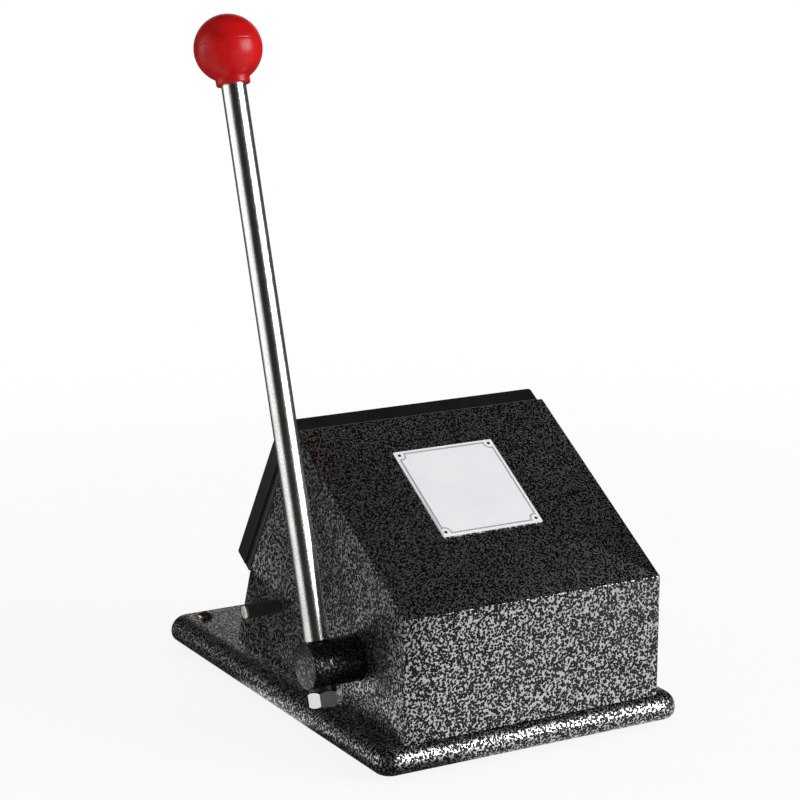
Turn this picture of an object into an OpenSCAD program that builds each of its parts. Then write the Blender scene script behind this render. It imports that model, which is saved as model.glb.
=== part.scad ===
// Card cutter for plastic identity cards: a bench press worked by a side lever.
// The lever turns a shaft with a cam. The cam drives a roller, a ram and a punch the
// size of a card through the die plate on the rear slope. Springs bring them back.
// X runs along the shaft with the lever at -X, -Y is the label side and +Z is up.
// Origin: middle of the base's outline, on the plane under the feet. Millimetres.

/* [Base] */
// Width of the base, along the shaft
base_w = 226; // [222:1:250]
// Depth of the base, front to rear
base_d = 315; // [305:1:350]
// Thickness of the base
base_h = 19; // [18.5:0.5:26]
// Radius of the base's corners in plan
base_corner_r = 12; // [12:0.5:24]
// Radius of the rounded-over top edge
base_edge_r = 11.5; // [4:0.5:11.5]
// Radius of the rounded lower edge
base_low_r = 7; // [1:0.5:7.5]
// Distance from the base's front edge to the housing
front_margin = 4; // [2:0.5:12]

/* [Feet] */
// Diameter of each rubber foot
foot_d = 20; // [18:1:32]
// Height of each rubber foot
foot_h = 5; // [4:0.5:12]
// Taper of each foot, on the radius
foot_taper = 1; // [0:0.5:2]
// Distance from a rear foot's centre to the base's side edge
foot_side = 21; // [18:0.5:22]
// Distance from a rear foot's centre to the base's rear edge
foot_rear = 21; // [18:0.5:30]
// Distance from each front foot's centre to the middle plane
front_foot_x = 58; // [50:1:60]
// Distance from each front foot's centre to the base's front edge
front_foot_y = 28; // [20:0.5:30]
// Thread diameter of the foot screws
foot_screw_d = 6; // [5:0.5:6]
// Head diameter of the foot screws
foot_screw_head_d = 11; // [10:0.5:12]
// Head height of the foot screws
foot_screw_head_h = 3.6; // [2.5:0.1:4]
// Length of foot screw that grips the rubber
foot_screw_grip = 3; // [2:0.5:3.5]

/* [Housing] */
// Width of the housing
housing_w = 190; // [188:1:200]
// Height of the upright front
front_h = 81; // [70:1:95]
// Distance of the ridge behind the front
ridge_y = 143; // [138:1:150]
// Height of the ridge above the base
ridge_h = 168.5; // [165:0.5:180]
// Distance of the rear kink behind the front
kink_y = 210; // [206:1:216]
// Height of the rear kink above the base
kink_h = 58.5; // [56:0.5:64]
// Depth of the housing where it stands on the base
rear_y = 231; // [226:1:240]
// Wall thickness
wall = 5; // [4:0.5:6]
// Side length of the corner lugs
lug = 18; // [16:0.5:20]
// Height of the corner lugs
lug_h = 14; // [12:0.5:20]
// Thread diameter of the housing screws
housing_screw_d = 6; // [5:0.5:6]
// Depth of thread of the housing screws
housing_screw_bite = 10; // [8:0.5:11]
// Depth of the screw heads' seats under the base
base_sink = 9; // [8.5:0.5:10]

/* [Label] */
// Width of the label plate
label_w = 75; // [60:1:90]
// Length of the label plate down the slope
label_l = 77; // [60:1:90]
// Thickness of the label plate
label_t = 0.8; // [0.5:0.1:1.5]
// Distance from the ridge to the label plate
label_drop = 30.5; // [20:0.5:50]
// Head diameter of the label rivets
rivet_d = 2.2; // [1.6:0.2:4]
// Distance from a rivet to the label's edges
rivet_inset = 3.5; // [3:0.5:8]

/* [Card and die] */
// Length of the card, across the machine
card_w = 85.6; // [80:0.1:88]
// Width of the card, down the slope
card_l = 53.98; // [50:0.01:58]
// Corner radius of the card
card_r = 3.18; // [2:0.01:5]
// Cutting gap on each side of the punch
die_gap = 0.05; // [0.03:0.01:0.1]
// Gap between the punch and the housing's window
window_gap = 1; // [0.5:0.1:2]
// Length of the die plate down the slope
die_l = 127; // [120:1:134]
// Width of the die plate
die_w = 196; // [190:1:204]
// Thickness of the die plate
die_t = 11; // [9:0.5:13]
// Radius of the die plate's corners
die_corner_r = 5; // [1:0.5:10]
// Thickness of the stripper plate
strip_t = 3; // [2:0.5:4]
// Width of the stripper plate
strip_w = 192; // [188:1:200]
// Height of the slot for the sheet
slot_h = 2; // [1.5:0.1:3]
// Width of the slot for the sheet
slot_w = 124; // [100:1:128]
// Distance of the die screws outside the sheet's slot
slot_margin = 10; // [9.5:0.5:12]
// Distance of the die screws from the card's centre, down the slope
die_screw_y = 35; // [34:0.5:38]
// Thread diameter of the die screws
die_screw_d = 6; // [5:0.5:7]
// Depth of thread in the cheeks
die_screw_bite = 14; // [10:1:18]
// Distance of the dowels from the middle plane
dowel_x = 87; // [84:0.5:88]
// Diameter of the dowels
dowel_d = 6; // [5:0.5:7]

/* [Cheeks and shaft] */
// Thickness of each cheek
cheek_t = 12; // [10:0.5:13]
// Half length of the cheeks' top, down the slope
cheek_top = 44; // [42:1:46]
// Distance the cheeks' feet reach in front of the shaft
cheek_reach = 37; // [34:1:38]
// Distance the cheeks' feet end in front of the rear kink
cheek_short = 22; // [20:1:30]
// Distance of the cheek screws from the ends of the cheeks' feet
cheek_screw_in = 18; // [14:1:24]
// Thread diameter of the cheek screws
cheek_screw_d = 8; // [6:0.5:8]
// Depth of thread of the cheek screws
cheek_screw_bite = 16; // [12:1:20]
// Thickness of the guide plate
guide_t = 12; // [8:0.5:14]
// Distance of the shaft behind the housing's front
shaft_y = 62; // [58:1:68]
// Height of the shaft above the base
shaft_h = 39; // [37:0.5:42]
// Diameter of the shaft
shaft_d = 25; // [22:0.5:27]
// Radial clearance of a running fit
running = 0.05; // [0.02:0.01:0.1]
// Wall of the shaft bushes
bush_wall = 3.5; // [3:0.5:5]
// Diameter of the bush flanges
bush_flange_d = 38; // [37:0.5:42]
// Thickness of the bush flanges
bush_flange_t = 3; // [2:0.5:4]
// Gap between sliding faces
side_gap = 0.3; // [0.2:0.05:0.5]
// Width of the shaft collar, which runs against the left cheek's inner face
collar_t = 6; // [4:0.5:7]

/* [Lever] */
// Diameter of the hub
hub_d = 30; // [28:0.5:34]
// Distance the hub stands out of the housing
hub_out = 36.5; // [34:0.5:42]
// Distance from the housing to the lever's centre line
lever_out = 25.5; // [24:0.5:28]
// Lean of the lever at rest, from upright
lever_lean = 18; // [12:0.5:24]
// Distance from the shaft to the centre of the ball
lever_l = 394; // [300:1:450]
// Diameter of the lever rod
rod_d = 16; // [14:0.5:18]
// Diameter of the rod's threaded ends
thread_d = 12; // [10:0.5:12]
// Distance from the shaft to the rod's shoulder
shoulder = 13.4; // [12.5:0.1:14]
// Chamfer at the rod's lower end
rod_chamfer = 1.5; // [0.5:0.1:2]
// Diameter of the ball knob
ball_d = 44; // [38:0.5:50]
// Diameter of the collar moulded under the ball
ball_collar_d = 22; // [20:0.5:26]
// Distance the moulded collar reaches below the ball
ball_neck = 1.5; // [0.5:0.1:3]
// Depth of thread in the ball
ball_bite = 26; // [15:1:30]
// Width of the hex nut across its flats
nut_af = 19; // [17:0.5:19]
// Height of the hex nut
nut_h = 10; // [8:0.5:12]
// Turn of the hex nut about the rod
nut_turn = -14.4; // [-30:0.2:30]
// Length of the nut's round neck
neck_h = 3.6; // [2:0.1:5]

/* [Cam and ram] */
// Travel of the punch
travel = 14; // [12.5:0.1:14]
// Distance from the shaft to the roller's centre at rest
roller_rest = 32; // [31:0.5:34]
// Diameter of the roller
roller_d = 24; // [22:0.5:26]
// Length of the roller
roller_w = 20; // [18:0.5:22]
// Diameter of the roller pin
pin_d = 10; // [8:0.5:11]
// Gap between the cam and the roller
cam_gap = 0.25; // [0.1:0.05:0.3]
// Width of the cam
cam_w = 18; // [14:0.5:18]
// Radius of the cam's low side
cam_low_r = 19; // [18:0.5:19.5]
// Angle that the cam goes on past each end of its travel
cam_over = 8; // [4:1:12]
// Width and height of the key
key_s = 6; // [5:0.5:6]
// Distance from the punch's face at rest to the stripper's outer face
punch_rest = 2; // [1:0.5:2.5]
// Height of the punch
punch_h = 26; // [24:0.5:27]
// Height of the ram's riser
riser_h = 20; // [18:0.5:22]
// Width of the ram's riser
riser_w = 76; // [72:1:78]
// Depth of the ram's riser, down the slope
riser_l = 36; // [30:1:44]
// Thickness of the ram plate
ram_t = 16; // [14:0.5:18]
// Depth of the ram plate, down the slope
ram_l = 48; // [40:1:56]
// Thickness of each ear that holds the roller pin
ear_t = 10; // [8:0.5:12]
// Distance of the guide posts' centres outside the card
post_margin = 11.2; // [10.2:0.1:12]
// Diameter of the guide posts
post_d = 12; // [10:0.5:12]
// Diameter of the heads of the guide posts
post_head_d = 19; // [17:0.5:20]
// Height of the heads of the guide posts
post_head_h = 6; // [4:0.5:8]
// Wall of the ram outside its bushes
ram_rim = 0.95; // [0.5:0.05:3]
// Wall of the ram bushes
ram_bush_wall = 3; // [2:0.5:3]
// Distance of the punch screws from the middle plane
punch_screw_x = 30; // [28:0.5:31]
// Thread diameter of the punch screws
punch_screw_d = 6; // [5:0.5:6]
// Depth of thread of the punch screws
punch_screw_bite = 12; // [8:1:16]
// Gap between the ram plate and a cheek
ram_side_gap = 2; // [1:0.5:2.5]
// Gap between the roller and an ear
roller_side_gap = 1; // [0.5:0.1:1.5]
// Wire diameter of the return springs
spring_wire = 2; // [1.5:0.1:2.2]
// Gap between a spring and its guide post
spring_gap = 0.6; // [0.4:0.1:0.8]
// Turns of each return spring
spring_turns = 5; // [4:0.5:6]

/* [Stop] */
// Distance of the stop pin behind the housing's front
stop_y = 169.5; // [164:0.5:176]
// Height of the stop pin above the base
stop_h = 42.5; // [38:0.5:48]
// Diameter of the stop pin
stop_d = 9; // [6:0.5:9]
// Distance the stop pin stands out of the housing
stop_out = 26; // [22:0.5:30]
// Chamfer at the stop pin's end
stop_chamfer = 0.8; // [0.4:0.1:1]
// Length of bare pin beyond the sleeve
stop_bare = 1.6; // [1:0.1:3]
// Outer diameter of the rubber sleeve
sleeve_d = 10; // [10:0.5:14]
// Width of the stop pin's nut across its flats
stop_nut_af = 14; // [12:0.5:15]
// Height of the stop pin's nut
stop_nut_h = 4; // [3:0.5:6]

/* [Hidden] */

$fn = 64;
// A hair by which a cutting shape stands proud of the face it cuts.
cut = 0.5;
left = -1;
right = 1;

// Housing: its front bottom edge is the origin of the side view's points.
seat_z = foot_h + base_h;
front_y = front_margin - base_d / 2;
outline = [[0, 0], [0, front_h], [ridge_y, ridge_h], [kink_y, kink_h], [rear_y, 0]];
inner = inset(outline, [wall, wall, wall, wall, -cut]);
front_slope_a = atan2(ridge_h - front_h, ridge_y);
rear_slope_a = atan2(kink_h - ridge_h, kink_y - ridge_y);
lug_x = housing_w / 2 - wall - lug / 2;
lug_front = wall + lug / 2;
lug_rear = inner[4][0] - lug / 2 - wall;

// Card's centre on the rear slope: the foot of the perpendicular from the shaft.
down = [cos(rear_slope_a), sin(rear_slope_a)];
out = [-down[1], down[0]];
from_ridge = [shaft_y - ridge_y, shaft_h - ridge_h];
card_s = from_ridge * down;
shaft_depth = -from_ridge * out;
card_y = ridge_y + card_s * down[0];
card_z = ridge_h + card_s * down[1];

// Heights on the slope's own axis, which points out of the machine.
strip_top = strip_t;
slot_top = strip_top + slot_h;
die_top = slot_top + die_t;
guide_top = -wall;
guide_low = guide_top - guide_t;
punch_top = strip_top - punch_rest;
punch_low = punch_top - punch_h;
ram_top = punch_low - riser_h;
ram_low = ram_top - ram_t;
roller_z = roller_rest - shaft_depth;
head_top = ram_low - side_gap;
ear_x = roller_w / 2 + roller_side_gap + ear_t / 2;

// Lever: the swing ends where the rod meets the stop sleeve.
lever_x = housing_w / 2 + lever_out;
collar_low = lever_l - ball_d / 2 - ball_neck;
stop_from_shaft = [stop_y - shaft_y, stop_h - shaft_h];
stop_angle = atan2(stop_from_shaft[0], stop_from_shaft[1]);
touch_angle = asin((rod_d / 2 + sleeve_d / 2 + side_gap) / norm(stop_from_shaft));
swing = stop_angle - touch_angle - lever_lean;
rise = travel / swing;

// Cheeks and shaft: the cheeks stand clear of the ram, and the die screws, which go into
// the middle of the cheeks, stand clear of the sheet's slot.
post_x = card_w / 2 + post_margin;
ram_bush_d = post_d + 2 * running + 2 * ram_bush_wall;
ram_side = post_x + ram_bush_d / 2 + ram_rim + ram_side_gap;
cheek_x = max(ram_side + cheek_t / 2, slot_w / 2 + slot_margin);
die_screw_x = cheek_x;
cheek_gap = 2 * cheek_x - cheek_t;
cheek_out = cheek_gap / 2 + cheek_t;
bush_d = shaft_d + 2 * bush_wall;
bush_end = cheek_out + bush_flange_t;
collar_x = side_gap - cheek_gap / 2;
collar_d = bush_flange_d - 2;
cheek_foot_front = shaft_y - cheek_reach;
cheek_foot_rear = kink_y - cheek_short;
cheek_screw_front = cheek_foot_front + cheek_screw_in;
cheek_screw_rear = cheek_foot_rear - cheek_screw_in;

// Socket-head screws: head and thread sizes follow the thread diameter.
function head_d(d) = 1.65 * d;
function head_h(d) = d;
socket_share = 0.5;
hole_gap = 0.3;
head_gap = 0.4;
rivet_shank = rivet_d * 0.6;
die_sink = head_h(die_screw_d) + hole_gap;

// Springs between the guide plate and the ram plate.
spring_r = post_d / 2 + spring_wire / 2 + spring_gap;
spring_low = ram_top;
spring_top = guide_low;

function side(p, q) = (q - p) / norm(q - p);
function inward(p, q) = let(s = side(p, q)) [s[1], -s[0]];
function meet(n1, c1, n2, c2) =
    let(w = n1[0] * n2[1] - n1[1] * n2[0])
    [(c1 * n2[1] - c2 * n1[1]) / w, (n1[0] * c2 - n2[0] * c1) / w];
function inset(pts, by) = [
    for (i = [0:len(pts) - 1])
        let(
            j = (i + len(pts) - 1) % len(pts),
            k = (i + 1) % len(pts),
            a = inward(pts[j], pts[i]),
            b = inward(pts[i], pts[k])
        )
        meet(a, a * pts[i] + by[j], b, b * pts[i] + by[i])
];

module in_housing() {
    translate([0, front_y, seat_z]) children();
}

module on_slope() {
    in_housing() translate([0, card_y, card_z]) rotate([rear_slope_a, 0, 0]) children();
}

module on_label() {
    in_housing() translate([0, ridge_y, ridge_h]) rotate([front_slope_a, 0, 0])
        translate([0, -label_drop - label_l / 2, 0]) children();
}

module on_shaft() {
    in_housing() translate([0, shaft_y, shaft_h]) children();
}

module on_lever() {
    on_shaft() translate([-lever_x, 0, 0]) rotate([-lever_lean, 0, 0]) children();
}

// A side view (Y, Z) made solid across the machine, from x0 to x1.
module across(x0, x1) {
    translate([x0, 0, 0]) rotate([90, 0, 90]) linear_extrude(x1 - x0) children();
}

// A round bar along X, from x0 to x1.
module bar(d, x0, x1) {
    translate([min(x0, x1), 0, 0]) rotate([0, 90, 0]) cylinder(d = d, h = abs(x1 - x0));
}

// A block from z0 to z1, centred in X and Y.
module slab(w, l, z0, z1) {
    translate([-w / 2, -l / 2, z0]) cube([w, l, z1 - z0]);
}

module round_rect(w, l, r) {
    square([w - 2 * r, l], center = true);
    square([w, l - 2 * r], center = true);
    for (sx = [-1, 1], sy = [-1, 1])
        translate([sx * (w / 2 - r), sy * (l / 2 - r)]) circle(r);
}

module card_shape(gap) {
    round_rect(card_w + 2 * gap, card_l + 2 * gap, card_r + gap);
}

// Cap screw: head under z = 0, thread upwards. The socket opens downwards.
module cap_screw(d, grip) {
    difference() {
        union() {
            translate([0, 0, -head_h(d)]) cylinder(d = head_d(d), h = head_h(d));
            cylinder(d = d, h = grip);
        }
        translate([0, 0, -head_h(d) - cut])
            cylinder(d = 0.95 * d, h = socket_share * head_h(d) + cut, $fn = 6);
    }
}

module cap_screw_hole(d, sink, through) {
    translate([0, 0, -sink]) cylinder(d = head_d(d) + 2 * head_gap, h = sink);
    cylinder(d = d + 2 * hole_gap, h = through);
}

// Base
function foot_spot(x, y) = [
    x * (y < 0 ? front_foot_x : base_w / 2 - foot_side),
    y < 0 ? front_foot_y - base_d / 2 : base_d / 2 - foot_rear
];
function housing_spot(x, y) = [x * lug_x, front_y + (y < 0 ? lug_front : lug_rear)];
function cheek_spot(x, y) = [x * cheek_x, front_y + (y < 0 ? cheek_screw_front : cheek_screw_rear)];

// A band of the base's side view that is rounded at both ends, about the height mid.
module round_band(w, r, mid, low) {
    translate([r - w / 2, low]) square([w - 2 * r, r]);
    intersection() {
        for (s = [-1, 1]) translate([s * (w / 2 - r), mid]) circle(r);
        translate([-w / 2, low]) square([w, r]);
    }
}

module edge_profile(w) {
    top_mid = base_h - base_edge_r;
    translate([-w / 2, base_low_r]) square([w, top_mid - base_low_r]);
    round_band(w, base_edge_r, top_mid, top_mid);
    round_band(w, base_low_r, base_low_r, 0);
}

module base_corner() {
    rotate_extrude() intersection() {
        edge_profile(2 * base_corner_r);
        square([base_corner_r, base_h]);
    }
}

module base_form() {
    across(base_corner_r - base_w / 2, base_w / 2 - base_corner_r) edge_profile(base_d);
    rotate([90, 0, 0]) linear_extrude(base_d - 2 * base_corner_r, center = true)
        edge_profile(base_w);
    for (sx = [-1, 1], sy = [-1, 1])
        translate([sx * (base_w / 2 - base_corner_r), sy * (base_d / 2 - base_corner_r), 0])
            base_corner();
}

module base_plate() {
    color("#3c3c3e") translate([0, 0, foot_h]) difference() {
        base_form();
        for (sx = [-1, 1], sy = [-1, 1]) {
            translate([each foot_spot(sx, sy), -cut])
                cylinder(d = foot_screw_d + 2 * hole_gap, h = base_h + 2 * cut);
            translate([each housing_spot(sx, sy), base_sink])
                cap_screw_hole(housing_screw_d, base_sink + cut, base_h);
            translate([each cheek_spot(sx, sy), base_sink])
                cap_screw_hole(cheek_screw_d, base_sink + cut, base_h);
        }
    }
}

module foot(sx, sy) {
    color("#202022") translate([each foot_spot(sx, sy), 0]) difference() {
        cylinder(d1 = foot_d - 2 * foot_taper, d2 = foot_d, h = foot_h);
        translate([0, 0, foot_h - foot_screw_grip])
            cylinder(d = foot_screw_d, h = foot_screw_grip + cut);
    }
}

module foot_screw(sx, sy) {
    cross_w = 1.4;
    color("#c9b98a") translate([each foot_spot(sx, sy), seat_z]) difference() {
        union() {
            translate([0, 0, -base_h - foot_screw_grip])
                cylinder(d = foot_screw_d, h = base_h + foot_screw_grip);
            intersection() {
                cylinder(d = foot_screw_head_d, h = foot_screw_head_h);
                translate([0, 0, foot_screw_head_h - foot_screw_head_d])
                    sphere(foot_screw_head_d);
            }
        }
        for (a = [45, 135]) rotate([0, 0, a])
            translate([-foot_screw_head_d / 4, -cross_w / 2, foot_screw_head_h / 2])
                cube([foot_screw_head_d / 2, cross_w, foot_screw_head_h]);
    }
}

// Housing
module lug_block(sx, y) {
    translate([sx * lug_x - lug / 2, y - lug / 2, 0]) cube([lug, lug, lug_h]);
    translate([sx * (lug_x + lug / 4) - lug / 4, y < kink_y / 2 ? 0 : y, 0])
        cube([lug / 2, y < kink_y / 2 ? y : rear_y - y, lug_h]);
}

module label_holes(d, depth) {
    for (sx = [-1, 1], sy = [-1, 1])
        translate([sx * (label_w / 2 - rivet_inset), sy * (label_l / 2 - rivet_inset), -depth])
            cylinder(d = d, h = depth + cut);
}

module housing() {
    color("#3c3c3e") difference() {
        in_housing() {
            difference() {
                across(-housing_w / 2, housing_w / 2) polygon(outline);
                across(wall - housing_w / 2, housing_w / 2 - wall) polygon(inner);
            }
            intersection() {
                across(-housing_w / 2, housing_w / 2) polygon(outline);
                for (sx = [-1, 1], y = [lug_front, lug_rear]) lug_block(sx, y);
            }
        }
        for (sx = [-1, 1], sy = [-1, 1])
            translate([each housing_spot(sx, sy), seat_z - cut])
                cylinder(d = housing_screw_d, h = housing_screw_bite + cut);
        on_shaft() bar(hub_d + 2 * hole_gap, -housing_w / 2 - cut, wall + cut - housing_w / 2);
        in_housing() translate([0, stop_y, stop_h])
            bar(stop_d, -housing_w / 2 - cut, wall + cut - housing_w / 2);
        on_label() label_holes(rivet_shank, wall + cut);
        on_slope() {
            translate([0, 0, -wall - cut]) linear_extrude(wall + 2 * cut) card_shape(window_gap);
            die_screw_spots() cylinder(d = die_screw_d + 2 * hole_gap, h = 3 * wall, center = true);
            dowel_spots() cylinder(d = dowel_d, h = 3 * wall, center = true);
        }
    }
}

module housing_screw(sx, sy) {
    color("#4a4a4c") translate([each housing_spot(sx, sy), foot_h + base_sink])
        cap_screw(housing_screw_d, base_h - base_sink + housing_screw_bite);
}

module label_plate() {
    color("#e8e8ea") on_label() difference() {
        slab(label_w, label_l, 0, label_t);
        label_holes(rivet_shank, cut);
        translate([0, 0, label_t]) label_holes(rivet_shank, label_t);
    }
}

module label_rivet(sx, sy) {
    head = rivet_d / 4;
    color("#303032") on_label()
        translate([sx * (label_w / 2 - rivet_inset), sy * (label_l / 2 - rivet_inset), 0]) {
            translate([0, 0, -wall]) cylinder(d = rivet_shank, h = wall + label_t + head / 2);
            translate([0, 0, label_t]) cylinder(d1 = rivet_d, d2 = rivet_d * 0.6, h = head);
        }
}

// Plates on the rear slope
module die_screw_spots() {
    for (sx = [-1, 1], sy = [-1, 1])
        translate([sx * die_screw_x, sy * die_screw_y, 0]) children();
}

module dowel_spots() {
    for (sx = [-1, 1]) translate([sx * dowel_x, 0, 0]) children();
}

module plate_holes(z0, z1) {
    translate([0, 0, z0 - cut]) {
        die_screw_spots() cylinder(d = die_screw_d + 2 * hole_gap, h = z1 - z0 + 2 * cut);
        dowel_spots() cylinder(d = dowel_d, h = z1 - z0 + 2 * cut);
    }
}

module die_plate() {
    color("#242426") on_slope() difference() {
        translate([0, 0, slot_top]) linear_extrude(die_t) round_rect(die_w, die_l, die_corner_r);
        translate([0, 0, slot_top - cut]) linear_extrude(die_t + 2 * cut) card_shape(die_gap);
        plate_holes(slot_top, die_top);
        translate([0, 0, die_top - die_sink]) die_screw_spots()
            cylinder(d = head_d(die_screw_d) + 2 * head_gap, h = die_sink + cut);
    }
}

module spacer(sx) {
    spacer_w = (strip_w - slot_w) / 2;
    color("#2a2a2c") on_slope() difference() {
        translate([sx * (slot_w + spacer_w) / 2, 0, 0]) slab(spacer_w, die_l, strip_top, slot_top);
        plate_holes(strip_top, slot_top);
    }
}

module stripper_plate() {
    color("#2c2c2e") on_slope() difference() {
        slab(strip_w, die_l, 0, strip_top);
        translate([0, 0, -cut]) linear_extrude(strip_t + 2 * cut) card_shape(2 * die_gap);
        plate_holes(0, strip_top);
    }
}

module die_screw(sx, sy) {
    color("#4a4a4c") on_slope()
        translate([sx * die_screw_x, sy * die_screw_y, die_top - die_sink]) mirror([0, 0, 1])
            cap_screw(die_screw_d, die_top - die_sink - guide_low + die_screw_bite);
}

module dowel(sx) {
    color("#b8b8ba") on_slope() translate([sx * dowel_x, 0, -wall])
        cylinder(d = dowel_d, h = die_top + wall);
}

module guide_plate() {
    color("#8c8e90") on_slope() difference() {
        slab(2 * cheek_out, 2 * cheek_top, guide_low, guide_top);
        translate([0, 0, guide_low - cut]) {
            linear_extrude(guide_t + 2 * cut) card_shape(die_gap);
            die_screw_spots() cylinder(d = die_screw_d + 2 * hole_gap, h = guide_t + 2 * cut);
            for (sx = [-1, 1]) translate([sx * post_x, 0, 0])
                cylinder(d = post_d, h = guide_t + 2 * cut);
        }
    }
}

// Cheeks: from the base up to the guide plate's inner face.
function slope_point(y, z) = [card_y + y * down[0] + z * out[0], card_z + y * down[1] + z * out[1]];

module cheek(sx) {
    color("#77797b") difference() {
        in_housing() across(sx * cheek_x - cheek_t / 2, sx * cheek_x + cheek_t / 2) polygon([
            [cheek_foot_front, 0],
            [cheek_foot_front, shaft_h + bush_d / 2],
            slope_point(-cheek_top, guide_low),
            slope_point(cheek_top, guide_low),
            [cheek_foot_rear, 0]
        ]);
        on_shaft() bar(bush_d, sx * (cheek_gap / 2 - cut), sx * (cheek_out + cut));
        on_slope() translate([sx * die_screw_x, 0, guide_low - die_screw_bite])
            for (sy = [-1, 1]) translate([0, sy * die_screw_y, 0])
                cylinder(d = die_screw_d, h = die_screw_bite + cut);
        for (sy = [-1, 1]) translate([each cheek_spot(sx, sy), seat_z - cut])
            cylinder(d = cheek_screw_d, h = cheek_screw_bite + cut);
    }
}

module cheek_screw(sx, sy) {
    color("#4a4a4c") translate([each cheek_spot(sx, sy), foot_h + base_sink])
        cap_screw(cheek_screw_d, base_h - base_sink + cheek_screw_bite);
}

module shaft_bush(sx) {
    color("#b08a4a") on_shaft() difference() {
        union() {
            bar(bush_d, sx * cheek_gap / 2, sx * bush_end);
            bar(bush_flange_d, sx * cheek_out, sx * bush_end);
        }
        bar(shaft_d + 2 * running, sx * (cheek_gap / 2 - cut), sx * (bush_end + cut));
    }
}

module guide_post(sx) {
    color("#c8cacc") on_slope() translate([sx * post_x, 0, 0]) {
        translate([0, 0, head_top]) cylinder(d = post_d, h = guide_top - head_top);
        translate([0, 0, head_top - post_head_h]) cylinder(d = post_head_d, h = post_head_h);
    }
}

// Stop
module on_stop() {
    in_housing() translate([-housing_w / 2, stop_y, stop_h]) children();
}

module stop_pin() {
    color("#d0d2d4") on_stop() {
        bar(stop_d, wall + stop_nut_h, stop_chamfer - stop_out);
        translate([stop_chamfer - stop_out, 0, 0]) rotate([0, -90, 0])
            cylinder(d1 = stop_d, d2 = stop_d - 2 * stop_chamfer, h = stop_chamfer);
    }
}

module stop_sleeve() {
    color("#262626") on_stop() difference() {
        bar(sleeve_d, 0, stop_bare - stop_out);
        bar(stop_d, cut, stop_bare - stop_out - cut);
    }
}

module stop_nut() {
    color("#c0c2c4") on_stop() difference() {
        translate([wall, 0, 0]) rotate([0, 90, 0])
            cylinder(d = stop_nut_af / cos(30), h = stop_nut_h, $fn = 6);
        bar(stop_d, wall - cut, wall + stop_nut_h + cut);
    }
}

// Shaft, with the hub as its outer end.
module cam_shaft() {
    color("#3c3c3e") difference() {
        on_shaft() {
            bar(hub_d, -housing_w / 2 - hub_out, -bush_end - side_gap);
            bar(shaft_d, -bush_end - side_gap, bush_end);
        }
        on_lever() {
            cylinder(d = thread_d, h = 2 * hub_d, center = true);
            translate([0, 0, shoulder]) cylinder(d = rod_d + 2 * hole_gap, h = hub_d);
            translate([0, 0, -shoulder - hub_d]) cylinder(d = rod_d + 2 * hole_gap, h = hub_d);
        }
        on_shaft() key_block(0);
    }
}

module shaft_collar() {
    color("#9a9c9e") on_shaft() difference() {
        bar(collar_d, collar_x, collar_x + collar_t);
        bar(shaft_d, collar_x - cut, collar_x + collar_t + cut);
    }
}

// The key lies half in the shaft and half in the cam, on the side away from the lobe.
module key_block(over) {
    translate([-cam_w / 2 - over, -key_s / 2, -shaft_d / 2 - key_s / 2])
        cube([cam_w + 2 * over, key_s, key_s]);
}

module cam_key() {
    color("#9a9c9e") on_shaft() key_block(0);
}

// Cam: the roller's centre moves out evenly with the angle, and the cam's edge is
// that path moved in by the roller's radius and the gap.
function unit(a) = [cos(a), sin(a)];
function roller_path(a) = (roller_rest + rise * a) * unit(out_angle + a);
function cam_point(a) =
    let(
        r = roller_rest + rise * a,
        slope = rise * 180 / PI,
        n = (r * unit(out_angle + a) - slope * unit(out_angle + a + 90)) / norm([r, slope])
    )
    roller_path(a) - (roller_d / 2 + cam_gap) * n;
out_angle = atan2(out[1], out[0]);

module press_cam() {
    steps = 40;
    span = swing + 2 * cam_over;
    color("#8c8e90") on_shaft() difference() {
        across(-cam_w / 2, cam_w / 2) union() {
            circle(cam_low_r);
            polygon([
                [0, 0],
                for (i = [0:steps]) cam_point(i * span / steps - cam_over)
            ]);
        }
        bar(shaft_d, -cam_w, cam_w);
        key_block(cut);
    }
}

// Lever
module lever_rod() {
    color("#d0d2d4") on_lever() {
        translate([0, 0, -shoulder - neck_h - nut_h])
            cylinder(d = thread_d, h = 2 * shoulder + neck_h + nut_h);
        translate([0, 0, shoulder])
            cylinder(d1 = rod_d - 2 * rod_chamfer, d2 = rod_d, h = rod_chamfer);
        translate([0, 0, shoulder + rod_chamfer])
            cylinder(d = rod_d, h = collar_low - shoulder - rod_chamfer);
        translate([0, 0, collar_low]) cylinder(d = thread_d, h = ball_bite);
    }
}
module lever_nut() {
    color("#c8cacc") on_lever() difference() {
        union() {
            translate([0, 0, -shoulder - neck_h - nut_h / 2])
                cylinder(d = rod_d, h = neck_h + nut_h / 2);
            translate([0, 0, -shoulder - neck_h - nut_h]) rotate([0, 0, nut_turn])
                cylinder(d = nut_af / cos(30), h = nut_h, $fn = 6);
        }
        translate([0, 0, -shoulder - neck_h - nut_h - cut])
            cylinder(d = thread_d, h = neck_h + nut_h + 2 * cut);
    }
}

module ball_knob() {
    color("#e01818") on_lever() difference() {
        union() {
            translate([0, 0, lever_l]) sphere(d = ball_d, $fn = 96);
            translate([0, 0, collar_low]) cylinder(d = ball_collar_d, h = ball_d / 4);
        }
        translate([0, 0, collar_low - cut]) cylinder(d = thread_d, h = ball_bite + cut);
    }
}

// Ram
module post_spots() {
    for (sx = [-1, 1]) translate([sx * post_x, 0, 0]) children();
}

module ear(sx) {
    x = sx * ear_x - ear_t / 2;
    translate([x, -roller_d / 2, roller_z]) cube([ear_t, roller_d, ram_low - roller_z]);
    translate([0, 0, roller_z]) bar(roller_d, x, x + ear_t);
}

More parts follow.
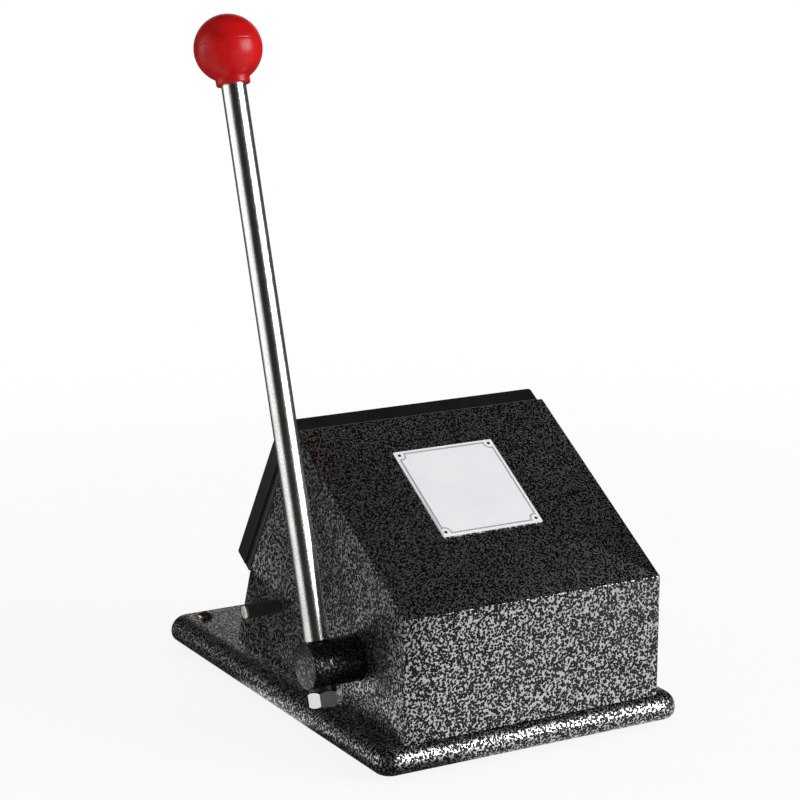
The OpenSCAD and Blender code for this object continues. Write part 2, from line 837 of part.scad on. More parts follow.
module ram() {
    ram_w = cheek_gap - 2 * ram_side_gap;
    color("#85878a") on_slope() difference() {
        union() {
            slab(ram_w, ram_l, ram_low, ram_top);
            slab(riser_w, riser_l, ram_top, punch_low);
            for (sx = [-1, 1]) ear(sx);
        }
        translate([0, 0, roller_z]) bar(pin_d, -ram_w / 2, ram_w / 2);
        translate([0, 0, ram_low - cut]) post_spots()
            cylinder(d = ram_bush_d, h = ram_t + 2 * cut);
        for (sx = [-1, 1]) translate([sx * punch_screw_x, 0, ram_low + 2 * punch_screw_d])
            cap_screw_hole(punch_screw_d, 2 * punch_screw_d + cut, ram_t + riser_h);
    }
}

module ram_bush(sx) {
    color("#b08a4a") on_slope() translate([sx * post_x, 0, 0]) difference() {
        translate([0, 0, ram_low]) cylinder(d = ram_bush_d, h = ram_t);
        translate([0, 0, ram_low - cut]) cylinder(d = post_d + 2 * running, h = ram_t + 2 * cut);
    }
}

module punch() {
    color("#b4b6b8") on_slope() difference() {
        translate([0, 0, punch_low]) linear_extrude(punch_h) card_shape(0);
        for (sx = [-1, 1]) translate([sx * punch_screw_x, 0, punch_low - cut])
            cylinder(d = punch_screw_d, h = punch_screw_bite + cut);
    }
}

module punch_screw(sx) {
    color("#4a4a4c") on_slope()
        translate([sx * punch_screw_x, 0, ram_low + 2 * punch_screw_d])
            cap_screw(punch_screw_d, punch_low + punch_screw_bite - ram_low - 2 * punch_screw_d);
}

module roller_pin() {
    half = ear_x + ear_t / 2;
    color("#9a9c9e") on_slope() translate([0, 0, roller_z]) bar(pin_d, -half, half);
}

module cam_roller() {
    color("#a8aaac") on_slope() translate([0, 0, roller_z]) difference() {
        bar(roller_d, -roller_w / 2, roller_w / 2);
        bar(pin_d + 2 * running, -roller_w, roller_w);
    }
}

// Return spring: a ring of eight points carried along the coil.
module return_spring(sx) {
    steps = 20;
    rings = spring_turns * steps;
    sides = 8;
    height = spring_top - spring_low - spring_wire;
    points = [
        for (i = [0:rings], j = [0:sides - 1])
            let(
                a = 360 * i / steps,
                b = 360 * j / sides,
                r = spring_r + spring_wire / 2 * cos(b)
            )
            [r * cos(a), r * sin(a), spring_wire / 2 * (1 + sin(b)) + height * i / rings]
    ];
    faces = [
        [for (j = [0:sides - 1]) j],
        for (i = [0:rings - 1], j = [0:sides - 1])
            [
                i * sides + j,
                (i + 1) * sides + j,
                (i + 1) * sides + (j + 1) % sides,
                i * sides + (j + 1) % sides
            ],
        [for (j = [sides - 1:-1:0]) rings * sides + j]
    ];
    color("#c4c6c8") on_slope() translate([sx * post_x, 0, spring_low])
        polyhedron(points, faces, convexity = 8);
}

base_plate();
foot(left, -1);  // foot_front_left
foot(right, -1);  // foot_front_right
foot(left, 1);  // foot_rear_left
foot(right, 1);  // foot_rear_right
foot_screw(left, -1);  // foot_screw_front_left
foot_screw(right, -1);  // foot_screw_front_right
foot_screw(left, 1);  // foot_screw_rear_left
foot_screw(right, 1);  // foot_screw_rear_right
housing();
housing_screw(left, -1);  // housing_screw_front_left
housing_screw(right, -1);  // housing_screw_front_right
housing_screw(left, 1);  // housing_screw_rear_left
housing_screw(right, 1);  // housing_screw_rear_right
label_plate();
label_rivet(left, 1);  // label_rivet_top_left
label_rivet(right, 1);  // label_rivet_top_right
label_rivet(left, -1);  // label_rivet_low_left
label_rivet(right, -1);  // label_rivet_low_right
die_plate();
spacer(left);  // spacer_left
spacer(right);  // spacer_right
stripper_plate();
die_screw(left, -1);  // die_screw_top_left
die_screw(right, -1);  // die_screw_top_right
die_screw(left, 1);  // die_screw_low_left
die_screw(right, 1);  // die_screw_low_right
dowel(left);  // dowel_left
dowel(right);  // dowel_right
guide_plate();
cheek(left);  // cheek_left
cheek(right);  // cheek_right
cheek_screw(left, -1);  // cheek_screw_front_left
cheek_screw(right, -1);  // cheek_screw_front_right
cheek_screw(left, 1);  // cheek_screw_rear_left
cheek_screw(right, 1);  // cheek_screw_rear_right
shaft_bush(left);  // shaft_bush_left
shaft_bush(right);  // shaft_bush_right
guide_post(left);  // guide_post_left
guide_post(right);  // guide_post_right
stop_pin();
stop_sleeve();
stop_nut();
cam_shaft();
shaft_collar();
cam_key();
press_cam();
lever_rod();
lever_nut();
ball_knob();
ram();
ram_bush(left);  // ram_bush_left
ram_bush(right);  // ram_bush_right
punch();
punch_screw(left);  // punch_screw_left
punch_screw(right);  // punch_screw_right
roller_pin();
cam_roller();
return_spring(left);  // return_spring_left
return_spring(right);  // return_spring_right
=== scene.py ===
# Identity card cutter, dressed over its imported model. Metres, in the model's own frame.
import bmesh
import bpy
from math import acos, asin, atan2, cos, pi, radians, sin, sqrt
from mathutils import Matrix, Vector


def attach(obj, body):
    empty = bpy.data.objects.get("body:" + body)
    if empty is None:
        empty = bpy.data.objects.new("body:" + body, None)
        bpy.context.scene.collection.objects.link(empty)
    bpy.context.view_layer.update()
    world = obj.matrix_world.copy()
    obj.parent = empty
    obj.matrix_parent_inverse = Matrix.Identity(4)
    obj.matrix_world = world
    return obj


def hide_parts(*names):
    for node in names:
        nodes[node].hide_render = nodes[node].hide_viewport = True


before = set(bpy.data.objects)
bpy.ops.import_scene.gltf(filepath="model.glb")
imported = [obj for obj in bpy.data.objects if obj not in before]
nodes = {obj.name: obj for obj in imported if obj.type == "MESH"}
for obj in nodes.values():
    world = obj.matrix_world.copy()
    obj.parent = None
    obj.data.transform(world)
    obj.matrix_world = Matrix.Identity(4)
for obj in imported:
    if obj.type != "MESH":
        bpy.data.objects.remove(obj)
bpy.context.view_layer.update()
scene = bpy.context.scene
mm = 0.001
print("frame loaded:", len(nodes), "nodes")


# places on the machine, as matrices
body = {
    "frontY": -153.5, "seatZ": 24.0, "width": 190.0,
    "outline": [(0, 0), (0, 81), (143, 168.5), (210, 58.5), (231, 0)],
    "shaftY": 62.0, "shaftH": 39.0, "leverX": -120.5, "leverLean": 18.0,
    "labelDrop": 30.5, "labelLength": 77.0, "stopY": 169.5, "stopH": 42.5,
    "dieScrewX": 72, "dieScrewY": 35, "dowelX": 87, "dowelR": 3, "screwHole": 3.3,
}
sharpAngle = 35


def moved(x, y, z):
    return Matrix.Translation((x * mm, y * mm, z * mm))


def tilted(angle):
    return Matrix.Rotation(angle, 4, "X")


onHousing = moved(0, body["frontY"], body["seatZ"])
ridge, kink, brow = body["outline"][2], body["outline"][3], body["outline"][1]
rearSlope = atan2(kink[1] - ridge[1], kink[0] - ridge[0])
frontSlope = atan2(ridge[1] - brow[1], ridge[0] - brow[0])
fromRidge = Vector((body["shaftY"] - ridge[0], body["shaftH"] - ridge[1]))
downSlope = Vector((cos(rearSlope), sin(rearSlope)))
cardSpot = Vector(ridge) + downSlope * fromRidge.dot(downSlope)
onSlope = onHousing @ moved(0, cardSpot.x, cardSpot.y) @ tilted(rearSlope)
onLabel = (onHousing @ moved(0, *ridge) @ tilted(frontSlope)
           @ moved(0, -body["labelDrop"] - body["labelLength"] / 2, 0))
onShaft = onHousing @ moved(0, body["shaftY"], body["shaftH"])
onLever = onShaft @ moved(body["leverX"], 0, 0) @ tilted(-radians(body["leverLean"]))
alongX = Matrix.Rotation(pi / 2, 4, "Y")
onStop = onHousing @ moved(-body["width"] / 2, body["stopY"], body["stopH"]) @ alongX.inverted()


# mesh helpers
def finished(bm, name, place=Matrix.Identity(4), smoothAngle=sharpAngle):
    bmesh.ops.remove_doubles(bm, verts=bm.verts, dist=1e-7)
    bmesh.ops.transform(bm, matrix=place, verts=bm.verts)
    bmesh.ops.recalc_face_normals(bm, faces=bm.faces)
    mesh = bpy.data.meshes.new(name)
    bm.to_mesh(mesh)
    bm.free()
    for face in mesh.polygons:
        face.use_smooth = True
    mesh.set_sharp_from_angle(angle=radians(smoothAngle))
    piece = bpy.data.objects.new(name, mesh)
    scene.collection.objects.link(piece)
    return piece


def lathe(points, segments=64):
    # points are (radius, height) in mm, turned about Z
    bm = bmesh.new()
    verts = [bm.verts.new((r * mm, 0, z * mm)) for r, z in points]
    edges = [bm.edges.new(pair) for pair in zip(verts, verts[1:])]
    bmesh.ops.spin(bm, geom=verts + edges, cent=(0, 0, 0), axis=(0, 0, 1), angle=2 * pi,
                   steps=segments, use_merge=True, use_duplicate=False)
    bmesh.ops.remove_doubles(bm, verts=bm.verts, dist=1e-6)
    return bm


def arc(centreR, centreZ, radius, start, end, steps):
    return [(centreR + radius * cos(radians(start + (end - start) * i / steps)),
             centreZ + radius * sin(radians(start + (end - start) * i / steps)))
            for i in range(steps + 1)]


def rod(radius, z0, z1, chamfer=0.0, segments=48):
    # a closed round bar, with rounded ends where it has a chamfer
    c, rounds = chamfer, 3
    if c == 0:
        return lathe([(0, z0), (radius, z0), (radius, z1), (0, z1)], segments)
    return lathe([(0, z0)] + arc(radius - c, z0 + c, c, -90, 0, rounds)
                 + arc(radius - c, z1 - c, c, 0, 90, rounds) + [(0, z1)], segments)


def tube(inner, outer, z0, z1, chamfer, segments=48):
    c = chamfer
    ring = [(inner, z0 + c), (inner + c, z0), (outer - c, z0), (outer, z0 + c),
            (outer, z1 - c), (outer - c, z1), (inner + c, z1), (inner, z1 - c)]
    return lathe(ring + [ring[0]], segments)


def beveled(bm, edges, width, segments):
    return bmesh.ops.bevel(bm, geom=edges, offset=width * mm, offset_type="OFFSET",
                           affect="EDGES", segments=segments, profile=0.5, material=-1,
                           clamp_overlap=True)


def upright(edge):
    a, b = (v.co for v in edge.verts)
    return abs(a.z - b.z) > 0.9 * (a - b).length


def block(width, length, z0, z1, cornerR=0.0, x=0.0):
    bm = bmesh.new()
    bmesh.ops.create_cube(bm, size=1.0)
    bmesh.ops.scale(bm, vec=(width * mm, length * mm, (z1 - z0) * mm), verts=bm.verts)
    bmesh.ops.translate(bm, vec=(x * mm, 0, (z0 + z1) / 2 * mm), verts=bm.verts)
    if cornerR:
        beveled(bm, [e for e in bm.edges if upright(e)], cornerR, 10)
    return bm


def prism(points, x0, x1):
    # a side view (y, z) carried across the machine
    bm = bmesh.new()
    face = bm.faces.new([bm.verts.new((x0 * mm, y * mm, z * mm)) for y, z in points])
    grown = bmesh.ops.extrude_face_region(bm, geom=[face])
    bmesh.ops.translate(bm, vec=((x1 - x0) * mm, 0, 0),
                        verts=[v for v in grown["geom"] if isinstance(v, bmesh.types.BMVert)])
    bmesh.ops.recalc_face_normals(bm, faces=bm.faces)
    return bm


def together(parts):
    # several (bmesh, matrix) pairs in one mesh
    whole = bmesh.new()
    for bm, place in parts:
        bmesh.ops.transform(bm, matrix=place, verts=bm.verts)
        bmesh.ops.recalc_face_normals(bm, faces=bm.faces)
        loose = bpy.data.meshes.new("loose")
        bm.to_mesh(loose)
        bm.free()
        whole.from_mesh(loose)
        bpy.data.meshes.remove(loose)
    return whole


def settle(piece):
    # applies the piece's modifiers
    bpy.context.view_layer.update()
    seen = piece.evaluated_get(bpy.context.evaluated_depsgraph_get())
    mesh = bpy.data.meshes.new_from_object(seen)
    piece.modifiers.clear()
    old = piece.data
    piece.data = mesh
    mesh.name = piece.name
    bpy.data.meshes.remove(old)
    for face in mesh.polygons:
        face.use_smooth = True
    mesh.set_sharp_from_angle(angle=radians(sharpAngle))


def cutWith(piece, tool, operation="DIFFERENCE"):
    cut = piece.modifiers.new("cut", "BOOLEAN")
    cut.operation, cut.solver, cut.object = operation, "EXACT", tool
    settle(piece)
    bpy.data.objects.remove(tool)


def carved(piece, cutters, operation="DIFFERENCE"):
    # cuts a piece with (bmesh, matrix) pairs
    cutWith(piece, finished(together(cutters), "tool"), operation)


def evened(piece):
    # shading that follows the large faces
    even = piece.modifiers.new("even", "WEIGHTED_NORMAL")
    even.keep_sharp = True
    settle(piece)


def eased(piece, width, segments=3, angle=40):
    ease = piece.modifiers.new("ease", "BEVEL")
    ease.width, ease.segments, ease.limit_method = width * mm, segments, "ANGLE"
    ease.angle_limit, ease.profile = radians(angle), 0.5
    ease.use_clamp_overlap, ease.harden_normals = True, False
    settle(piece)
    evened(piece)


def joined(piece, extra):
    bm = bmesh.new()
    bm.from_mesh(piece.data)
    bm.from_mesh(extra.data)
    bm.to_mesh(piece.data)
    bm.free()
    bpy.data.objects.remove(extra)


def keep(piece, bodyName, slotName, finish, *replaced):
    piece.data.materials.clear()
    piece.data.materials.append(finish)
    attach(piece, bodyName)
    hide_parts(*replaced)


# finishes
class Wire:
    # a shader value: arithmetic on it adds Math nodes
    def __init__(self, finish, socket):
        self.finish, self.socket = finish, socket

    def maths(self, operation, first, second):
        return self.finish.node("ShaderNodeMath", {"operation": operation}, {0: first, 1: second})

    def __add__(self, other):
        return self.maths("ADD", self, other)

    def __sub__(self, other):
        return self.maths("SUBTRACT", self, other)

    def __rsub__(self, other):
        return self.maths("SUBTRACT", other, self)

    def __mul__(self, other):
        return self.maths("MULTIPLY", self, other)

    def __pow__(self, other):
        return self.maths("POWER", self, other)

    def size(self):
        return self.finish.node("ShaderNodeMath", {"operation": "ABSOLUTE"}, {0: self})

    def atMost(self, other):
        return self.maths("MINIMUM", self, other)

    def atLeast(self, other):
        return self.maths("MAXIMUM", self, other)

    __radd__ = __add__
    __rmul__ = __mul__


class Finish:
    def __init__(self, tree):
        self.tree = tree
        tree.nodes.clear()

    def node(self, kind, settings=None, inputs=None, output=0):
        made = self.tree.nodes.new(kind)
        for key, value in (settings or {}).items():
            setattr(made, key, value)
        for key, value in (inputs or {}).items():
            self.join(made.inputs[key], value)
        return Wire(self, made.outputs[output]) if len(made.outputs) else None

    def join(self, socket, value):
        if isinstance(value, Wire):
            self.tree.links.new(value.socket, socket)
        elif socket.type == "RGBA" and len(value) == 3:
            socket.default_value = (*value, 1.0)
        else:
            socket.default_value = value

    def spots(self, scale, stretch=(1, 1, 1)):
        # the piece's own coordinates, scaled for a pattern
        place = self.node("ShaderNodeTexCoord", output="Object")
        if stretch == (1, 1, 1):
            return self.node("ShaderNodeVectorMath", {"operation": "SCALE"},
                             {0: place, "Scale": scale})
        return self.node("ShaderNodeMapping", {}, {
            "Vector": place, "Scale": tuple(scale * s for s in stretch)})

    def noise(self, vector, scale, detail=2.0, rough=0.5):
        return self.node("ShaderNodeTexNoise", {}, {
            "Vector": vector, "Scale": scale, "Detail": detail, "Roughness": rough})

    def between(self, value, low, high, toLow=0.0, toHigh=1.0):
        return self.node("ShaderNodeMapRange", {"interpolation_type": "SMOOTHSTEP"}, {
            "Value": value, "From Min": low, "From Max": high, "To Min": toLow, "To Max": toHigh})

    def blend(self, factor, first, second):
        # sockets 6 and 7 are the Mix node's colours, and output 2 its colour
        return self.node("ShaderNodeMix", {"data_type": "RGBA"}, {
            0: factor, 6: first, 7: second}, output=2)

    def bump(self, height, strength, distance):
        return self.node("ShaderNodeBump", {}, {
            "Height": height, "Strength": strength, "Distance": distance})

    def surface(self, **sockets):
        names = {"color": "Base Color", "rough": "Roughness", "metal": "Metallic", "normal": "Normal",
                 "specular": "Specular IOR Level"}
        shader = self.node("ShaderNodeBsdfPrincipled", {}, {
            names[key]: value for key, value in sockets.items()})
        self.node("ShaderNodeOutputMaterial", {}, {"Surface": shader})


def newFinish(name):
    material = bpy.data.materials.new(name)
    material.use_nodes = True
    return material, Finish(material.node_tree)


hammer = {
    "cell": 1.5, "reach": 0.61, "vein": (0.96, 0.96, 0.95), "ground": (0.003, 0.003, 0.0034),
    "driftScale": 1.1, "wander": 0.5, "patchScale": 0.7, "patchDepth": 0.5,
    "grainScale": 3.0, "grainRough": 0.7, "grainLow": 0.38, "grainHigh": 0.62, "dullest": 0.22,
    "veinInside": 0.03, "veinOutside": 0.05, "domeFrom": 0.1, "domeTo": 0.6, "grainRise": 0.34,
    "dropRough": 0.24, "veinRough": 0.07, "bump": 0.8, "relief": 0.00016, "shine": 0.22}


def hammertone(name="hammertonePaint", cell=hammer["cell"], reach=hammer["reach"],
               vein=hammer["vein"]):
    # glossy black drops of hammered paint, with broken silver left between them
    h = hammer
    material, f = newFinish(name)
    place = f.spots(1 / (cell * mm))
    drift = f.node("ShaderNodeTexNoise", {}, {
        "Vector": place, "Scale": h["driftScale"], "Detail": 2.0, "Roughness": 0.6}, output="Color")
    shifted = f.node("ShaderNodeVectorMath", {"operation": "MULTIPLY_ADD"}, {
        0: drift, 1: (h["wander"],) * 3, 2: place})
    away = f.node("ShaderNodeTexVoronoi", {"feature": "F1"}, {
        "Vector": shifted, "Scale": 1.0, "Randomness": 1.0}, output="Distance")
    patch = h["patchDepth"] * (f.noise(place, h["patchScale"], 2.0) - 0.5)
    grain = f.noise(place, h["grainScale"], 2.0, h["grainRough"])
    silver = f.between(away + patch, reach - h["veinInside"], reach + h["veinOutside"])
    bright = f.between(grain, h["grainLow"], h["grainHigh"], h["dullest"], 1.0)
    colour = f.blend(silver * bright, h["ground"], vein)
    height = f.between(away, h["domeFrom"], h["domeTo"], 1.0, 0.0) + h["grainRise"] * grain
    f.surface(color=colour, metal=silver, rough=h["dropRough"] + h["veinRough"] * silver,
              normal=f.bump(height, h["bump"], h["relief"]), specular=h["shine"])
    return material


metal = {"broadScale": 60.0, "fineShare": 0.6, "low": 0.3, "high": 0.7, "leastRough": 0.75,
         "fineRough": 0.5, "broadRough": 0.06, "bump": 0.35}


def brushedMetal(name, shade, rough, grain, stretch=(1, 1, 1), tint=0.12, depth=0.00003):
    # tint is how much darker the metal's dull patches are
    m = metal
    material, f = newFinish(name)
    fine = f.noise(f.spots(grain, stretch), 1.0, 4.0, 0.6)
    broad = f.noise(f.spots(m["broadScale"]), 1.0, 3.0, 0.55)
    dull = tuple(c * (1 - tint) for c in shade)
    patches = fine * m["fineShare"] + broad * (1 - m["fineShare"])
    colour = f.blend(f.between(patches, m["low"], m["high"]), dull, shade)
    f.surface(color=colour, metal=1.0,
              rough=rough * m["leastRough"] + rough * m["fineRough"] * fine + m["broadRough"] * broad,
              normal=f.bump(fine, m["bump"], depth))
    return material


dark = {"broadScale": 45.0, "broadShare": 0.7, "low": 0.32, "high": 0.7, "mottle": 0.35,
        "lift": 0.002, "broadRough": 0.10, "fineRough": 0.08, "bump": 0.4}


def darkFinish(name, shade, rough, grain, depth, metallic=0.0):
    # black oxide, rubber and dark paint
    d = dark
    material, f = newFinish(name)
    fine = f.noise(f.spots(grain), 1.0, 3.0, 0.6)
    broad = f.noise(f.spots(d["broadScale"]), 1.0, 4.0, 0.6)
    pale = tuple(c * (1 + d["mottle"]) + d["lift"] for c in shade)
    patches = broad * d["broadShare"] + fine * (1 - d["broadShare"])
    colour = f.blend(f.between(patches, d["low"], d["high"]), shade, pale)
    f.surface(color=colour, metal=metallic,
              rough=rough + d["broadRough"] * (broad - 0.5) + d["fineRough"] * (fine - 0.5),
              normal=f.bump(fine, d["bump"], depth))
    return material


knobPaint = {"red": (0.56, 0.002, 0.003), "deep": (0.42, 0.001, 0.001), "rough": 0.30, "shine": 0.26,
             "broadScale": 55.0, "fineScale": 700.0, "waveScale": 140.0, "low": 0.35, "high": 0.65,
             "broadRough": 0.14, "fineRough": 0.06, "fineRise": 0.15, "bump": 0.20, "relief": 0.0006}


def mouldedRed():
    k = knobPaint
    material, f = newFinish("mouldedRed")
    broad = f.noise(f.spots(k["broadScale"]), 1.0, 2.0, 0.5)
    fine = f.noise(f.spots(k["fineScale"]), 1.0, 2.0, 0.5)
    waves = f.noise(f.spots(k["waveScale"]), 1.0, 1.0, 0.5)
    colour = f.blend(f.between(broad, k["low"], k["high"]), k["deep"], k["red"])
    f.surface(color=colour,
              rough=k["rough"] + k["broadRough"] * (broad - 0.5) + k["fineRough"] * (fine - 0.5),
              normal=f.bump(waves + k["fineRise"] * fine, k["bump"], k["relief"]),
              specular=k["shine"])
    return material


enamel = {"shade": (0.76, 0.755, 0.79), "pale": (0.80, 0.795, 0.825), "ink": (0.04, 0.04, 0.043),
          "inkCover": 0.95, "inkEdge": 0.16, "fineScale": 500.0, "broadScale": 35.0,
          "low": 0.3, "high": 0.7, "rough": 0.34, "fineRough": 0.12, "bump": 0.15, "relief": 0.00004}


def printedLabel(width, length, inset, border):
    # white enamel with a fine double border that is notched round the rivets
    e = enamel
    material, f = newFinish("printedLabel")
    where = f.node("ShaderNodeUVMap", {"uv_map": "plate"})
    x = f.node("ShaderNodeSeparateXYZ", {}, {0: where}, output="X")
    y = Wire(f, x.socket.node.outputs["Y"])
    acrossEdge = width / 2 - ((x - 0.5) * width).size()
    alongEdge = length / 2 - ((y - 0.5) * length).size()
    aside, below = acrossEdge - inset, alongEdge - inset
    notch = (aside * aside + below * below) ** 0.5 - border["notch"]
    inside = (acrossEdge.atMost(alongEdge) - border["offset"]).atMost(notch)
    ink = f.between((inside.size() - border["apart"] / 2).size(), border["line"] / 2,
                    border["line"] / 2 + e["inkEdge"], 1.0, 0.0)
    fine = f.noise(f.spots(e["fineScale"]), 1.0, 3.0, 0.6)
    broad = f.noise(f.spots(e["broadScale"]), 1.0, 3.0, 0.6)
    ground = f.blend(f.between(broad, e["low"], e["high"]), e["shade"], e["pale"])
    colour = f.blend(e["inkCover"] * ink, ground, e["ink"])
    f.surface(color=colour, rough=e["rough"] + e["fineRough"] * (fine - 0.5),
              normal=f.bump(fine, e["bump"], e["relief"]))
    return material


paint = hammertone()
hubPaint = hammertone("hubPaint", 1.6, 0.68, (0.30, 0.30, 0.33))
blackPlate = darkFinish("blackPlate", (0.006, 0.006, 0.0065), 0.36, 700.0, 0.00003)
# the stripper plate is the same black plate, painted lighter and brownish as a painted highlight for the
# thin line where its edge catches light
stripPaintedSheen = darkFinish("stripPaintedSheen", (0.040, 0.034, 0.030), 0.40, 600.0, 0.00003)
# black screw finish, also put on the lever nut's neck as painted shade for the dark gap under the hub
blackScrewAndShade = darkFinish("blackScrewAndShade", (0.020, 0.020, 0.021), 0.38, 1200.0, 0.00003, 0.6)
footRubber = darkFinish("footRubber", (0.012, 0.012, 0.012), 0.75, 800.0, 0.00006)
sleeveRubber = darkFinish("sleeveRubber", (0.026, 0.024, 0.020), 0.42, 900.0, 0.00004)
rivetDark = darkFinish("rivetDark", (0.014, 0.014, 0.015), 0.35, 1500.0, 0.00002, 0.3)
platedRod = brushedMetal("platedRod", (0.93, 0.92, 0.90), 0.17, 1300.0, (1, 1, 0.6), tint=0.30,
                         depth=0.0003)
platedPin = brushedMetal("platedPin", (0.93, 0.91, 0.87), 0.46, 1100.0, tint=0.12)
zincNut = brushedMetal("zincNut", (0.88, 0.89, 0.88), 0.14, 1000.0, tint=0.12, depth=0.00002)
yellowZinc = brushedMetal("yellowZinc", (0.74, 0.60, 0.47), 0.20, 900.0, tint=0.35)
groundSteel = brushedMetal("groundSteel", (0.62, 0.62, 0.63), 0.22, 300.0, (12, 1, 1))
turnedSteel = brushedMetal("turnedSteel", (0.58, 0.58, 0.59), 0.28, 250.0, (14, 1, 1))
machinedSteel = brushedMetal("machinedSteel", (0.44, 0.45, 0.46), 0.36, 180.0, (1, 9, 9))
bearingBronze = brushedMetal("bearingBronze", (0.56, 0.38, 0.18), 0.34, 400.0, (8, 1, 1), tint=0.3)
springWire = brushedMetal("springWire", (0.50, 0.50, 0.51), 0.30, 900.0)
redKnob = mouldedRed()
print("finishes made")


# base and feet
base = {"width": 226, "depth": 315, "low": 5, "top": 24, "cornerR": 12, "edgeR": 11.5, "lowR": 7,
        "footX": 92, "footY": 136.5, "frontFootX": 58, "frontFootY": -129.5,
        "lugX": 81, "lugFrontY": -139.5, "lugRearY": 58.38, "lugScrew": 6,
        "cheekX": 72, "cheekFrontY": -110.5, "cheekRearY": 16.5, "cheekScrew": 8,
        "sink": 9, "headShare": 0.825, "headGap": 0.4, "screwGap": 0.3, "drillTop": 30}


def atHeight(edge, z):
    return all(abs(v.co.z - z) < 1e-6 for v in edge.verts)


def rim(bm, z):
    # the edges round a block's top or bottom
    bm.normal_update()
    return [e for e in bm.edges
            if atHeight(e, z) and any(abs(f.normal.z) < 0.5 for f in e.link_faces)]


def capHole(d):
    # a screw's hole, with a wide seat from below for its head
    head = base["headShare"] * d + base["headGap"]
    shank = d / 2 + base["screwGap"]
    seat = base["low"] + base["sink"]
    return lathe([(0, 0), (head, 0), (head, seat), (shank, seat), (shank, base["drillTop"]),
                  (0, base["drillTop"])], 40)


def makeBase():
    b = base
    bm = block(b["width"], b["depth"], b["low"], b["top"])
    beveled(bm, [e for e in bm.edges if upright(e)], b["cornerR"], 14)
    beveled(bm, rim(bm, b["top"] * mm), b["edgeR"], 14)
    beveled(bm, rim(bm, b["low"] * mm), b["lowR"], 8)
    piece = finished(bm, "basePlate")
    holes = []
    for sx in (-1, 1):
        for x, y in ((b["footX"], b["footY"]), (b["frontFootX"], b["frontFootY"])):
            holes.append((rod(body["screwHole"], 0, b["drillTop"]), moved(sx * x, y, 0)))
        for x, y, d in ((b["lugX"], b["lugFrontY"], b["lugScrew"]),
                        (b["lugX"], b["lugRearY"], b["lugScrew"]),
                        (b["cheekX"], b["cheekFrontY"], b["cheekScrew"]),
                        (b["cheekX"], b["cheekRearY"], b["cheekScrew"])):
            holes.append((capHole(d), moved(sx * x, y, 0)))
    carved(piece, holes)
    evened(piece)
    keep(piece, "frame", "hammertone", paint, "base_plate")


foot = {"radius": 10, "taper": 1, "height": 5, "lipR": 0.6, "screwR": 3, "grip": 3,
        "headR": 5.5, "headH": 3.6, "headRim": 0.9, "crossLong": 5.5, "crossWide": 1.3,
        "crossDeep": 1.8}


def makeFeet():
    r, h, lip, screwR = foot["radius"], foot["height"], foot["lipR"], foot["screwR"]
    screwLow = h - foot["grip"]
    seat = base["top"]
    top = seat + foot["headH"]
    for side, sx in (("left", -1), ("right", 1)):
        for end, x, y in (("rear", base["footX"], base["footY"]),
                          ("front", base["frontFootX"], base["frontFootY"])):
            spot = moved(sx * x, y, 0)
            pad = lathe([(0, 0)] + arc(r - foot["taper"] - lip, lip, lip, -90, -10, 4)
                        + [(r, h), (screwR, h), (screwR, screwLow), (0, screwLow)], 56)
            keep(finished(pad, f"foot.{end}.{side}", spot), "frame", "foot_rubber", footRubber,
                 f"foot_{end}_{side}")
            rise = foot["headH"] - foot["headRim"]
            dome = [(foot["headR"] * cos(a), seat + foot["headRim"] + rise * sin(a))
                    for a in (radians(90 * i / 8) for i in range(8))]
            screw = lathe([(0, screwLow), (screwR, screwLow), (screwR, seat), (foot["headR"], seat)]
                          + dome + [(0, top)], 40)
            piece = finished(screw, f"footScrew.{end}.{side}", spot)
            for a in (45, 135):
                bar = block(foot["crossLong"], foot["crossWide"], top - foot["crossDeep"], top + 2)
                carved(piece, [(bar, spot @ Matrix.Rotation(radians(a), 4, "Z"))])
            keep(piece, "frame", "foot_screw_zinc", yellowZinc, f"foot_screw_{end}_{side}")


makeBase()
makeFeet()
print("base and feet made")


# housing
house = {"wall": 5, "edge": 0.12, "edgeSteps": 2, "lug": 18, "lugH": 14, "lugHoleR": 3,
         "lugHoleTop": 10, "hubHole": 15.3, "windowW": 87.6, "windowL": 55.98, "windowR": 4.18,
         "rivetX": 34, "rivetY": 35, "rivetHole": 0.66, "stopHole": 4.5, "pastRear": 240}


def insetOutline(points, depths):
    # moves each side of a closed outline inwards by its own depth
    sides = []
    count = len(points)
    for i in range(count):
        a, b = Vector(points[i]), Vector(points[(i + 1) % count])
        run = (b - a).normalized()
        normal = Vector((run.y, -run.x))
        sides.append((normal, normal.dot(a) + depths[i]))
    corners = []
    for i in range(count):
        (m, c), (n, d) = sides[i - 1], sides[i]
        w = m.x * n.y - m.y * n.x
        corners.append(((c * n.y - d * m.y) / w, (m.x * d - n.x * c) / w))
    return corners


